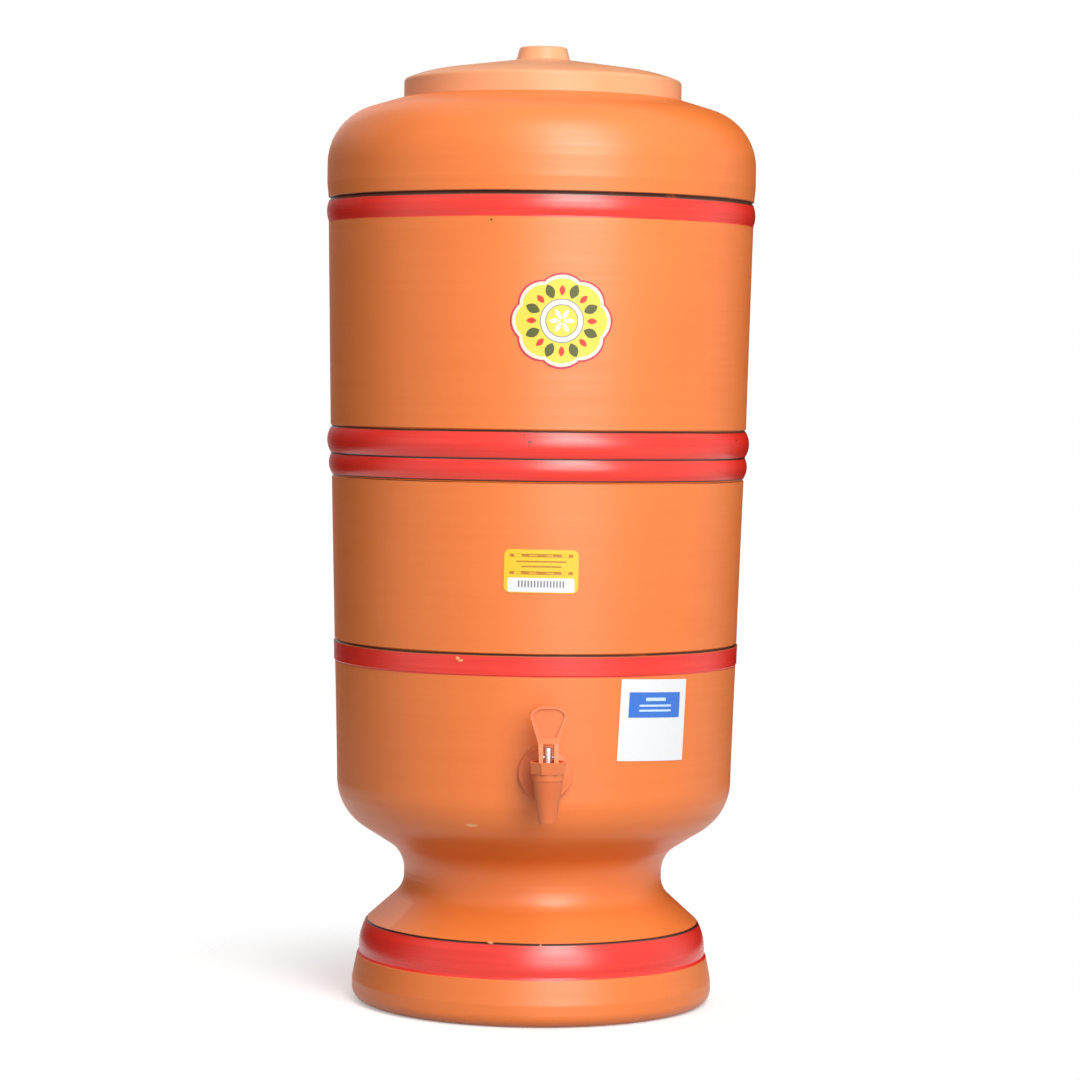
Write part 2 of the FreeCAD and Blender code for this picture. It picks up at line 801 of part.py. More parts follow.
def make_candle():
    """The ceramic cartridge: a domed cylinder, hollow from below."""
    z_top = z_ceramic + candle_height
    inner = candle_radius - candle_wall
    return turned([
        (inner, z_ceramic),
        (candle_radius, z_ceramic),
        (candle_radius, z_top, candle_dome_round),
        (0, z_top),
        (0, z_top - candle_wall),
        (inner, z_top - candle_wall, candle_dome_round - candle_wall),
    ])


def make_candle_base():
    """The cup that the ceramic is glued into, with the threaded outlet stem below."""
    cup_radius = candle_radius + candle_glue_gap + candle_cup_wall
    return turned([
        (candle_stem_bore_radius, z_stem_end),
        (candle_stem_radius, z_stem_end),
        (candle_stem_radius, z_cup),
        (cup_radius, z_cup, candle_cup_wall),
        (cup_radius, z_cup + candle_cup_height),
        (candle_radius + candle_glue_gap, z_cup + candle_cup_height),
        (candle_radius + candle_glue_gap, z_cup + candle_cup_floor),
        (candle_stem_bore_radius, z_cup + candle_cup_floor),
    ])


def flat_ring(radius, z_low, z_high):
    """A gasket or washer round the candle's stem."""
    bore = candle_stem_radius + washer_bore_clearance
    return cylinder_up(radius, z_low, z_high).cut(cylinder_up(bore, z_low - OVERSHOOT, z_high + OVERSHOOT))


def make_candle_gasket():
    return flat_ring(candle_gasket_radius, z_upper_floor, z_cup)


def make_candle_washer():
    return flat_ring(candle_washer_radius, z_nut_top, z_spigot)


def make_wing_nut():
    """Hub with two rounded wings that spread downwards."""
    half_span = wing_nut_span / 2
    hub = cylinder_up(wing_nut_radius, z_nut_low, z_nut_top)
    wings = mirrored_outline([
        (half_span, z_nut_low, wing_low_round),
        (half_span, z_nut_top - wing_tip_drop, wing_top_round),
        (wing_nut_radius - wing_root_inset, z_nut_top),
    ]).extrude(AXIS_Y * wing_thickness)
    wings.translate(FreeCAD.Vector(0, -wing_thickness / 2, 0))
    bore_radius = candle_stem_radius + washer_bore_clearance
    bore = cylinder_up(bore_radius, z_nut_low - OVERSHOOT, z_nut_top + OVERSHOOT)
    return hub.fuse(wings).cut(bore).removeSplitter()


def make_float_valve():
    """Socket on the candle's stem, a nozzle below it, and a bracket with two ears."""
    body = turned([
        (0, z_nozzle),
        (valve_nozzle_radius, z_nozzle),
        (valve_nozzle_radius, z_bracket),
        (valve_body_radius, z_bracket),
        (valve_body_radius, z_valve_top, rim_round),
        (0, z_valve_top),
    ])
    half = ear_gap_half_width + ear_thickness
    y_back = y_pivot - arm_tail - ear_thickness
    bracket = box_between((-half, y_back, z_bracket), (half, 0, z_bracket + bracket_thickness))
    ears = ear(-half).fuse(ear(ear_gap_half_width))
    socket = cylinder_up(candle_stem_radius + washer_bore_clearance, z_stem_end, z_valve_top + OVERSHOOT)
    bore = cylinder_up(valve_nozzle_bore_radius, z_nozzle - OVERSHOOT, z_valve_top)
    return body.fuse([bracket, ears]).cut([socket, bore]).removeSplitter()


def ear(x):
    """One ear of the bracket, from x to x plus its thickness, with its share of the pin hole."""
    x_far = x + ear_thickness
    plate = box_between((x, y_pivot - ear_radius, z_pivot), (x_far, y_pivot + ear_radius, z_bracket))
    eye = cylinder_along_x(ear_radius, x, x_far, y_pivot, z_pivot)
    hole = cylinder_along_x(float_pin_radius, x, x_far, y_pivot, z_pivot)
    return plate.fuse(eye).cut(hole)


def make_float_pin():
    half = ear_gap_half_width + ear_thickness
    return cylinder_along_x(float_pin_radius, -half, half, y_pivot, z_pivot)


def hanging(shape):
    """Turns what rides on the float's arm from level down to its hanging rest."""
    shape.rotate(FreeCAD.Vector(0, y_pivot, z_pivot), AXIS_X, -float_swing_limit)
    return shape


def make_float_arm():
    y_float = y_pivot + arm_length
    z_low = z_pivot - arm_below_pivot
    z_high = z_pivot + arm_above_pivot
    bar = box_between((-arm_half_width, y_pivot - arm_tail, z_low), (arm_half_width, y_float, z_high))
    disc = cylinder_up(arm_disc_radius, z_low, z_high, 0, y_float)
    hub = cylinder_along_x(arm_hub_radius, -arm_half_width, arm_half_width, y_pivot, z_pivot)
    bore_radius = float_pin_radius + float_pin_clearance
    bore = cylinder_along_x(bore_radius, -arm_half_width, arm_half_width, y_pivot, z_pivot)
    return hanging(bar.fuse([disc, hub]).cut(bore).removeSplitter())


def make_float_pad():
    return hanging(cylinder_up(pad_radius, z_pivot + arm_above_pivot, z_nozzle - pad_gap))


def make_float():
    z_top = z_pivot - arm_below_pivot
    bulb = turned([
        (0, z_top - float_height),
        (float_radius, z_top - float_height, float_edge_round),
        (float_radius, z_top, float_edge_round),
        (0, z_top),
    ])
    bulb.translate(FreeCAD.Vector(0, y_pivot + arm_length, 0))
    return hanging(bulb)


# Each candle and its float valve stand to one side, the second set turned half round
candle_pieces = {
    "candle": make_candle,
    "candle_base": make_candle_base,
    "candle_gasket": make_candle_gasket,
    "candle_washer": make_candle_washer,
    "wing_nut": make_wing_nut,
    "float_valve": make_float_valve,
    "float_pin": make_float_pin,
    "float_arm": make_float_arm,
    "float_pad": make_float_pad,
    "float": make_float,
}

pieces = {
    "lower_vessel": make_lower_vessel(),
    "upper_vessel": make_upper_vessel(),
    "lid": make_lid(),
    "tap_body": make_tap_body(),
    "flange_washer": make_flange_washer(),
    "inner_washer": make_inner_washer(),
    "tap_locknut": make_tap_locknut(),
    "tap_bonnet": make_tap_bonnet(),
    "stem_gland": make_stem_gland(),
    "valve_stem": make_valve_stem(),
    "valve_plug": make_valve_plug(),
    "return_spring": make_return_spring(),
    "lever_pin": make_lever_pin(),
    "tap_lever": make_tap_lever(),
}
for number, side in ((1, -1), (2, 1)):
    for name, make in candle_pieces.items():
        piece = make()
        if side > 0:
            piece.rotate(FreeCAD.Vector(), AXIS_Z, 180)
        piece.translate(FreeCAD.Vector(side * candle_spacing / 2, 0, 0))
        pieces[f"{name}_{number}"] = piece

os.makedirs("parts", exist_ok=True)
for name, shape in pieces.items():
    box = shape.BoundBox
    state = "valid" if shape.isValid() else "not valid"
    print(f"{name}: {state}, {shape.Volume:.0f} mm3, z {box.ZMin:.1f} to {box.ZMax:.1f}")
    shape.exportStep(f"parts/{name}.step")
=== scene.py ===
"""Dresses the clay water filter: camera, studio, painted clay, plastics, steel and labels."""

import json
import math

import bmesh
import bpy
from mathutils import Matrix, Vector


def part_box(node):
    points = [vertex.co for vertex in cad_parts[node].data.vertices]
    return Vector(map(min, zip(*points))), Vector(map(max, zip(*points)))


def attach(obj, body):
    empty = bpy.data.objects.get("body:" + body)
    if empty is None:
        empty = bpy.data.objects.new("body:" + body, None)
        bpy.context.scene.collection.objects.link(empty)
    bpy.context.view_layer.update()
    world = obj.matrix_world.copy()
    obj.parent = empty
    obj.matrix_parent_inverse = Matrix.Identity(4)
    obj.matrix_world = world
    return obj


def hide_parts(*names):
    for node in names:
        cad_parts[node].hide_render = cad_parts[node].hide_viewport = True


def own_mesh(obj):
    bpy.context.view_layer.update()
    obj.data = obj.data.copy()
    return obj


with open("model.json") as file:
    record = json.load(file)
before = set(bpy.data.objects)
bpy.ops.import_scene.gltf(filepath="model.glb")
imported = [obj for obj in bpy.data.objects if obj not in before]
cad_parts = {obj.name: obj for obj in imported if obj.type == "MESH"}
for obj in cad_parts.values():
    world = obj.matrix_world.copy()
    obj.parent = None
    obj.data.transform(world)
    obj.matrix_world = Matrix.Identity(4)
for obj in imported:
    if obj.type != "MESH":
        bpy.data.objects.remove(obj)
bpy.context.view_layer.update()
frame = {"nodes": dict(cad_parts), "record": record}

# Lengths are in metres and heights are above the floor. Azimuths are in degrees about the filter's
# axis, from the tap's side (-Y) towards +X. Colours are linear light.

# Camera, worked out from the photograph. The lens and the sensor are in millimetres
CAMERA_DISTANCE = 2.287
CAMERA_HEIGHT = 0.394
CAMERA_AZIMUTH = -3.2
CAMERA_PITCH = -2.59
CAMERA_ROLL = 0.77
CAMERA_PAN = -0.05
CAMERA_LENS = 121.0
SENSOR_WIDTH = 36.0

# Lamps: name, azimuth, height, distance from the axis, width and height of the lamp, and watts
LAMPS = (
    ("front", 16, 0.92, 2.5, (1.7, 1.5), 36),
    ("key", 16, 1.9, 1.7, (0.9, 1.8), 33),
    ("back_glow", -150, 1.5, 2.2, (1.6, 1.4), 16),
)
LAMP_AIM_HEIGHT = 0.3

# Black cards behind the filter: name, azimuth and width
CARDS = (("left_flag", -125, 3.4), ("right_flag", 152, 3.2))
CARD_DISTANCE = 1.3
CARD_HEIGHT = 2.4
CARD_BELOW_FLOOR = 0.1
# Shares of its width from a card's middle where it starts to clear and where it is clear
CARD_FADE = (0.1, 0.5)

# The surroundings: how much they light the filter, and how bright they are in view
WORLD_LEVEL = 0.35
WORLD_IN_VIEW = 1.0

# The floor: it clears between the two distances from the axis. FLOOR_LIFT is its own light in view
FLOOR_RADIUS = 3.0
FLOOR_FADE = (0.13, 0.36)
FLOOR_IN_VIEW = (0.86, 0.86, 0.86, 1)
FLOOR_IN_LIGHT = (0.14, 0.12, 0.10, 1)
FLOOR_LIFT = 0.30
FLOOR_ROUGHNESS = 0.9

# Outside of the vessels' straight walls: radius and height at the low end and at the high end
LOWER_WALL = ((0.1236, 0.1202), (0.1296, 0.3315))
UPPER_WALL = ((0.1306, 0.3603), (0.1332, 0.4890))

# Painted bands and lines: lowest and highest point of each. The black line from 0.3437 to 0.3449 is
# painted shade in the crease where the two vessels meet
RED_BANDS = ((0.0290, 0.0500), (0.2140, 0.2262), (0.3312, 0.3607), (0.4882, 0.5012))
BLACK_LINES = (
    (0.0494, 0.0507), (0.2264, 0.2277), (0.3299, 0.3317),
    (0.3437, 0.3449), (0.3602, 0.3615), (0.5011, 0.5037),
)
RED_EDGE = 0.00025
BLACK_EDGE = 0.00035
EDGE_WANDER = 0.0011

# Paint lies only outside these radii. The heights are where one hands over to the next
PAINTED_FROM_FOOT = 0.1025
PAINTED_FROM_LOWER = 0.1250
PAINTED_FROM_UPPER = 0.1286
PAINTED_FADE = 0.0006
FOOT_TO_LOWER = (0.06, 0.065)
LOWER_TO_UPPER = (0.30, 0.31)

# Painted shadow on the shoulder under the lid's skirt: how far it reaches inwards and outwards of the
# skirt, how soft its edges are, the heights between which it sets in, and how strong it is
SKIRT_SHADOW_INWARDS = 0.0016
SKIRT_SHADOW_OUTWARDS = 0.0003
SKIRT_SHADOW_EDGE = 0.0004
SKIRT_SHADOW_FROM = (0.54, 0.55)
SKIRT_SHADOW_SHARE = 0.75

# Small wear: azimuth, height, radius of the wall there, width and height of the fleck
BARE_FLECKS = (
    (-24.7, 0.2245, 0.1272, 0.0024, 0.0020),
    (-23.7, 0.2232, 0.1272, 0.0034, 0.0013),
    (-17.0, 0.0505, 0.1050, 0.0042, 0.0016),
    (-0.2, 0.0502, 0.1050, 0.0020, 0.0014),
    (-21.3, 0.1234, 0.1199, 0.0074, 0.0020),
    (148.0, 0.2242, 0.1272, 0.0060, 0.0026),
    (-121.0, 0.4990, 0.1340, 0.0048, 0.0022),
    (97.0, 0.0470, 0.1065, 0.0060, 0.0030),
)
DARK_FLECKS = (
    (-6.8, 0.3590, 0.1318, 0.0016, 0.0014),
    (-5.4, 0.3548, 0.1326, 0.0020, 0.0012),
    (-16.0, 0.4860, 0.1332, 0.0014, 0.0014),
    (64.0, 0.3560, 0.1326, 0.0018, 0.0014),
)
# A fleck ends between these shares of its size, and noise moves its edge by as much as this
FLECK_EDGE = (0.85, 1.15)
FLECK_RAGGED = 1.2

# Colours of the pieces
CLAY = (0.84, 0.190, 0.026, 1)
CLAY_PALE = (0.88, 0.208, 0.032, 1)
CLAY_DEEP = (0.74, 0.148, 0.018, 1)
BARE_CLAY = (0.88, 0.44, 0.19, 1)
RED = (0.90, 0.028, 0.010, 1)
RED_DEEP = (0.80, 0.016, 0.006, 1)
BLACK = (0.055, 0.016, 0.009, 1)
# Colour of the painted shadow on the shoulder under the lid's skirt
SKIRT_SHADOW = (0.26, 0.060, 0.016, 1)
LID = (0.88, 0.385, 0.190, 1)
LID_DEEP = (0.85, 0.352, 0.167, 1)
TAP = (0.82, 0.220, 0.076, 1)
TAP_DEEP = (0.73, 0.170, 0.054, 1)
FITTING = (0.80, 0.80, 0.77, 1)
FITTING_DEEP = (0.72, 0.71, 0.67, 1)
FLOAT = (0.72, 0.78, 0.80, 1)
FLOAT_DEEP = (0.64, 0.70, 0.73, 1)
STEEL = (0.70, 0.68, 0.66, 1)
STEEL_STAINED = (0.56, 0.54, 0.52, 1)
RUBBER = (0.030, 0.030, 0.031, 1)
RUBBER_WORN = (0.055, 0.054, 0.052, 1)
CERAMIC = (0.84, 0.82, 0.76, 1)
CERAMIC_MARKED = (0.72, 0.67, 0.56, 1)

# Printed papers: colour, and its deeper tone in the fibre
PRINTS = {
    "cream": ((0.82, 0.76, 0.62, 1), (0.76, 0.69, 0.54, 1)),
    "crimson": ((0.62, 0.035, 0.075, 1), (0.50, 0.022, 0.055, 1)),
    "yellow": ((0.86, 0.68, 0.070, 1), (0.80, 0.61, 0.055, 1)),
    "golden": ((0.88, 0.59, 0.030, 1), (0.82, 0.53, 0.024, 1)),
    "white": ((0.83, 0.84, 0.86, 1), (0.79, 0.80, 0.82, 1)),
    "olive": ((0.085, 0.095, 0.006, 1), (0.060, 0.070, 0.005, 1)),
    "scarlet": ((0.78, 0.035, 0.012, 1), (0.66, 0.022, 0.010, 1)),
    "grey": ((0.20, 0.21, 0.20, 1), (0.15, 0.16, 0.15, 1)),
    "amber": ((0.56, 0.22, 0.012, 1), (0.46, 0.16, 0.010, 1)),
    "ink": ((0.24, 0.23, 0.24, 1), (0.18, 0.17, 0.18, 1)),
    "blue": ((0.045, 0.19, 0.66, 1), (0.035, 0.15, 0.58, 1)),
    "pale_blue": ((0.62, 0.78, 0.88, 1), (0.55, 0.72, 0.84, 1)),
}

# How strongly a surface mirrors the studio
CLAY_SPECULAR = 0.80
MOULDING_SPECULAR = 0.5
SOFT_MOULDING_SPECULAR = 0.32

# Shares of the deep tone that streaks, grain and scuffs bring in, and what is left of a paint
# where the brush ran dry
STREAK_SHARE = 0.20
GRAIN_SHARE = 0.22
SCUFF_SHARE = 0.3
THIN_RED = 0.75
DRY_BLACK = 0.72

# Roughness from the smoothest to the roughest spot. A moulding's spreads about its own
CLAY_ROUGHNESS = (0.39, 0.46)
PAINT_ROUGHNESS = (0.26, 0.34)
BARE_ROUGHNESS = 0.8
STEEL_ROUGHNESS = (0.46, 0.58)
RUBBER_ROUGHNESS = (0.72, 0.88)
CERAMIC_ROUGHNESS = (0.82, 0.95)
PRINT_ROUGHNESS = (0.37, 0.50)
MOULDING_SMOOTHER = 0.05
MOULDING_ROUGHER = 0.08

# Height of the relief in a surface
CLAY_RELIEF = 0.00007
CLAY_RELIEF_STRENGTH = 0.8
MOULDING_RELIEF = 0.00005
STEEL_RELIEF = 0.00002
RUBBER_RELIEF = 0.00006
CERAMIC_RELIEF = 0.00012
PRINT_RELIEF = 0.00003

# What makes up the reliefs, as shares of their height. Paint lies higher than clay, a chip lower
RINGS_IN_CLAY = 0.75
GRAIN_IN_CLAY = 0.25
STROKES_IN_PAINT = 0.5
PAINT_HIGHER = 0.55
CHIP_LOWER = 0.8
GRAIN_IN_MOULDING = 0.4
SCUFFS_IN_MOULDING = 0.6

# Ranges of a noise that a ramp runs over: even about its mean, two set a little higher, and those
# from where a detail starts to show to where it is full
EVEN = (0.3, 0.7)
HIGHER = (0.35, 0.7)
HIGHEST = (0.35, 0.75)
THIN_RED_SHOWS = (0.68, 0.86)
DRY_BLACK_SHOWS = (0.62, 0.78)
GRAIN_SHOWS = (0.55, 0.8)
SCUFFS_SHOW = (0.62, 0.85)
STAIN_SHOWS = (0.45, 0.8)
WEAR_SHOWS = (0.4, 0.7)
WATER_MARKS_SHOW = (0.45, 0.75)

# Factors on x, y and z that draw a noise out: into the wheel's streaks, its fine rings, strokes of
# the brush, slow waves round the pot, flat scuffs, rings on the steel, and marks of standing water
STREAKS = (3, 3, 150)
RINGS = (1, 1, 420)
BRUSH = (5, 5, 260)
ROUND_THE_POT = (1, 1, 0.25)
SCUFFS = (1, 1, 6)
STEEL_RINGS = (1, 1, 60)
WATER_MARKS = (1, 1, 3)
NOISE_MEAN = 0.5

# Labels: gap to the wall, thickness of paper, card, ink and thin ink
LABEL_GAP = 0.00005
PAPER = 0.00025
CARD = 0.00030
INK = 0.00006
THIN_INK = 0.00005
# Longest edge of a plate's outline, and how full the lobes and leaves are
PLATE_STEP = 0.0025
FULLNESS = 0.8

SMOOTH_LIMIT = 40


class Shader:
    """A material's node tree, with short calls that add to it. Inputs are sockets or plain values."""

    def __init__(self, name):
        self.material = bpy.data.materials.new(name)
        self.material.use_nodes = True
        self.tree = self.material.node_tree
        self.surface = self.tree.nodes["Principled BSDF"]
        self.place = self.tree.nodes.new("ShaderNodeTexCoord").outputs["Object"]

    def feed(self, socket, value):
        """Links another socket to this one, or sets a plain value on it."""
        if isinstance(value, bpy.types.NodeSocket):
            self.tree.links.new(value, socket)
        else:
            socket.default_value = value

    def math(self, operation, a, b=0.0):
        node = self.tree.nodes.new("ShaderNodeMath")
        node.operation = operation
        self.feed(node.inputs[0], a)
        self.feed(node.inputs[1], b)
        return node.outputs[0]

    def add(self, a, b):
        return self.math("ADD", a, b)

    def subtract(self, a, b):
        return self.math("SUBTRACT", a, b)

    def multiply(self, a, b):
        return self.math("MULTIPLY", a, b)

    def vector(self, operation, a, b):
        node = self.tree.nodes.new("ShaderNodeVectorMath")
        node.operation = operation
        self.feed(node.inputs[0], a)
        self.feed(node.inputs[1], b)
        return node.outputs["Vector"]

    def length(self, vector):
        node = self.tree.nodes.new("ShaderNodeVectorMath")
        node.operation = "LENGTH"
        self.feed(node.inputs[0], vector)
        return node.outputs["Value"]

    def parts(self, vector):
        """The vector's x, y and z."""
        node = self.tree.nodes.new("ShaderNodeSeparateXYZ")
        self.feed(node.inputs[0], vector)
        return node.outputs

    def noise(self, scale, detail, stretch=None):
        """Noise on the piece: finer for a larger scale, with x, y and z times stretch."""
        place = self.vector("MULTIPLY", self.place, stretch) if stretch else self.place
        node = self.tree.nodes.new("ShaderNodeTexNoise")
        self.feed(node.inputs["Vector"], place)
        node.inputs["Scale"].default_value = scale
        node.inputs["Detail"].default_value = detail
        return node.outputs["Fac"]

    def ramp(self, value, low, high, start=0.0, end=1.0):
        """Eases from start to end as value goes from low to high."""
        node = self.tree.nodes.new("ShaderNodeMapRange")
        node.interpolation_type = "SMOOTHSTEP"
        for socket, number in zip(node.inputs, (value, low, high, start, end)):
            self.feed(socket, number)
        return node.outputs["Result"]

    def mix(self, share, a, b):
        """Colour a, with this share of colour b."""
        node = self.tree.nodes.new("ShaderNodeMix")
        node.data_type = "RGBA"
        self.feed(node.inputs["Factor"], share)
        self.feed(node.inputs["A"], a)
        self.feed(node.inputs["B"], b)
        return node.outputs["Result"]

    def blend(self, share, a, b):
        """Number a, with this share of number b."""
        node = self.tree.nodes.new("ShaderNodeMix")
        self.feed(node.inputs["Factor"], share)
        self.feed(node.inputs["A"], a)
        self.feed(node.inputs["B"], b)
        return node.outputs["Result"]

    def bump(self, height, distance, strength=1.0):
        node = self.tree.nodes.new("ShaderNodeBump")
        node.inputs["Distance"].default_value = distance
        node.inputs["Strength"].default_value = strength
        self.feed(node.inputs["Height"], height)
        self.feed(self.surface.inputs["Normal"], node.outputs["Normal"])

    def let_through(self, share):
        """Lets this share of the surface be clear."""
        nodes, links = self.tree.nodes, self.tree.links
        clear = nodes.new("ShaderNodeBsdfTransparent")
        mixed = nodes.new("ShaderNodeMixShader")
        links.new(share, mixed.inputs[0])
        links.new(self.surface.outputs[0], mixed.inputs[1])
        links.new(clear.outputs[0], mixed.inputs[2])
        links.new(mixed.outputs[0], nodes["Material Output"].inputs["Surface"])

    def set(self, **inputs):
        """Sets or links the surface's inputs, with _ for the blanks in their names."""
        for name, value in inputs.items():
            self.feed(self.surface.inputs[name.replace("_", " ")], value)


def around(azimuth, distance, height):
    """The point at this azimuth, distance from the filter's axis and height."""
    turn = math.radians(azimuth)
    return Vector((distance * math.sin(turn), -distance * math.cos(turn), height))


def link_object(name, data):
    piece = bpy.data.objects.new(name, data)
    bpy.context.scene.collection.objects.link(piece)
    return piece


# Clay
def band_mask(shader, value, low, high, edge):
    """1 where value lies between low and high, and 0 elsewhere, with soft edges."""
    rising = shader.ramp(value, low - edge, low + edge)
    falling = shader.ramp(value, high - edge, high + edge, 1.0, 0.0)
    return shader.multiply(rising, falling)


def any_of(shader, masks):
    total = masks[0]
    for mask in masks[1:]:
        total = shader.math("MAXIMUM", total, mask)
    return total


def bands_mask(shader, height, bands, edge):
    return any_of(shader, [band_mask(shader, height, low, high, edge) for low, high in bands])


def flecks_mask(shader, flecks, ragged):
    """1 on each of the flecks, whose edges the noise ragged moves."""
    masks = []
    for azimuth, height, radius, width, tall in flecks:
        away = shader.vector("SUBTRACT", shader.place, around(azimuth, radius, height))
        scaled = shader.vector("MULTIPLY", away, (2 / width, 2 / width, 2 / tall))
        masks.append(shader.ramp(shader.add(shader.length(scaled), ragged), *FLECK_EDGE, 1.0, 0.0))
    return any_of(shader, masks)


def outside_mask(shader, radius, z):
    """1 on the outside of the walls, where the brush could reach."""
    foot = shader.ramp(z, *FOOT_TO_LOWER, 1.0, 0.0)
    painted_from = shader.blend(foot, PAINTED_FROM_LOWER, PAINTED_FROM_FOOT)
    upper = shader.ramp(z, *LOWER_TO_UPPER)
    painted_from = shader.blend(upper, painted_from, PAINTED_FROM_UPPER)
    return shader.ramp(shader.subtract(radius, painted_from), 0.0, PAINTED_FADE)


def make_vessel_paint():
    """Smooth turned clay with its red bands and black lines, painted by height."""
    shader = Shader("vessel_paint")
    x, y, z = shader.parts(shader.place)
    radius = shader.math("SQRT", shader.add(shader.multiply(x, x), shader.multiply(y, y)))
    hand = shader.subtract(shader.noise(scale=16, detail=3, stretch=ROUND_THE_POT), NOISE_MEAN)
    height = shader.add(z, shader.multiply(hand, EDGE_WANDER))

    streaks = shader.noise(scale=1.6, detail=4, stretch=STREAKS)
    rings = shader.noise(scale=1.5, detail=2, stretch=RINGS)
    brush = shader.noise(scale=1.4, detail=4, stretch=BRUSH)
    cloud = shader.noise(scale=7, detail=3)
    grain = shader.noise(scale=620, detail=3)

    outside = outside_mask(shader, radius, z)
    thin_paint = shader.ramp(brush, *THIN_RED_SHOWS, 1.0, THIN_RED)
    red_share = shader.multiply(bands_mask(shader, height, RED_BANDS, RED_EDGE), outside)
    red_share = shader.multiply(red_share, thin_paint)
    dry = shader.noise(scale=60, detail=3, stretch=ROUND_THE_POT)
    dry_line = shader.ramp(dry, *DRY_BLACK_SHOWS, 1.0, DRY_BLACK)
    # The black lines include painted shade in the crease where the two vessels meet
    black_share = shader.multiply(bands_mask(shader, height, BLACK_LINES, BLACK_EDGE), outside)
    black_share = shader.multiply(black_share, dry_line)
    painted = shader.math("MAXIMUM", red_share, black_share)

    ragged = shader.subtract(shader.noise(scale=900, detail=2), NOISE_MEAN)
    ragged = shader.multiply(ragged, FLECK_RAGGED)
    bare = flecks_mask(shader, BARE_FLECKS, ragged)
    dark = flecks_mask(shader, DARK_FLECKS, ragged)
    # A painted shadow on the shoulder, in a ring under the lid's skirt
    skirt_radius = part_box("lid")[1][0]
    shadow_ring = (skirt_radius - SKIRT_SHADOW_INWARDS, skirt_radius + SKIRT_SHADOW_OUTWARDS)
    skirt_shadow = band_mask(shader, radius, *shadow_ring, SKIRT_SHADOW_EDGE)
    skirt_shadow = shader.multiply(skirt_shadow, shader.ramp(z, *SKIRT_SHADOW_FROM))

    clay = shader.mix(shader.ramp(cloud, *HIGHER), CLAY, CLAY_PALE)
    clay = shader.mix(shader.ramp(streaks, *HIGHEST, 0.0, STREAK_SHARE), clay, CLAY_DEEP)
    clay = shader.mix(shader.ramp(grain, *GRAIN_SHOWS, 0.0, GRAIN_SHARE), clay, CLAY_DEEP)
    red = shader.mix(shader.ramp(brush, *EVEN), RED, RED_DEEP)
    colour = shader.mix(red_share, clay, red)
    colour = shader.mix(black_share, colour, BLACK)
    colour = shader.mix(bare, colour, BARE_CLAY)
    # Darkens the ring under the lid's skirt with painted shadow
    colour = shader.mix(shader.multiply(skirt_shadow, SKIRT_SHADOW_SHARE), colour, SKIRT_SHADOW)
    colour = shader.mix(dark, colour, BLACK)

    clay_roughness = shader.ramp(streaks, *EVEN, *CLAY_ROUGHNESS)
    paint_roughness = shader.ramp(brush, *EVEN, *PAINT_ROUGHNESS)
    roughness = shader.blend(painted, clay_roughness, paint_roughness)
    roughness = shader.blend(bare, roughness, BARE_ROUGHNESS)

    fine = shader.multiply(grain, GRAIN_IN_CLAY)
    clay_relief = shader.add(shader.multiply(rings, RINGS_IN_CLAY), fine)
    paint_relief = shader.add(shader.multiply(brush, STROKES_IN_PAINT), PAINT_HIGHER)
    relief = shader.blend(painted, clay_relief, paint_relief)
    relief = shader.subtract(relief, shader.multiply(bare, CHIP_LOWER))
    shader.bump(relief, CLAY_RELIEF, CLAY_RELIEF_STRENGTH)
    shader.set(Base_Color=colour, Roughness=roughness, Specular_IOR_Level=CLAY_SPECULAR)
    return shader.material


# Plastics, steel, rubber, ceramic and paper
def make_moulding(name, colour, deep, roughness, gloss=MOULDING_SPECULAR):
    """Satin moulded plastic with a faint cloud, fine scuffs and the grain of the mould."""
    shader = Shader(name)
    cloud = shader.noise(scale=24, detail=3)
    grain = shader.noise(scale=1500, detail=2)
    scuff = shader.noise(scale=260, detail=4, stretch=SCUFFS)
    shade = shader.mix(shader.ramp(cloud, *HIGHER), colour, deep)
    shade = shader.mix(shader.ramp(scuff, *SCUFFS_SHOW, 0.0, SCUFF_SHARE), shade, deep)
    fine = shader.multiply(grain, GRAIN_IN_MOULDING)
    shader.bump(shader.add(fine, shader.multiply(scuff, SCUFFS_IN_MOULDING)), MOULDING_RELIEF)
    limits = (roughness - MOULDING_SMOOTHER, roughness + MOULDING_ROUGHER)
    rough = shader.ramp(scuff, *HIGHEST, *limits)
    shader.set(Base_Color=shade, Roughness=rough, Specular_IOR_Level=gloss)
    return shader.material


def make_steel():
    """Turned steel rod: fine rings round it and a slight stain."""
    shader = Shader("turned_steel")
    rings = shader.noise(scale=120, detail=2, stretch=STEEL_RINGS)
    stain = shader.noise(scale=180, detail=3)
    shade = shader.mix(shader.ramp(stain, *STAIN_SHOWS), STEEL, STEEL_STAINED)
    shader.bump(rings, STEEL_RELIEF)
    rough = shader.ramp(rings, *EVEN, *STEEL_ROUGHNESS)
    shader.set(Base_Color=shade, Metallic=1.0, Roughness=rough)
    return shader.material


def make_rubber():
    """Black seal rubber with a dull, worn grain."""
    shader = Shader("seal_rubber")
    grain = shader.noise(scale=1100, detail=3)
    shade = shader.mix(shader.ramp(grain, *WEAR_SHOWS), RUBBER, RUBBER_WORN)
    shader.bump(grain, RUBBER_RELIEF)
    shader.set(Base_Color=shade, Roughness=shader.ramp(grain, *EVEN, *RUBBER_ROUGHNESS))
    return shader.material


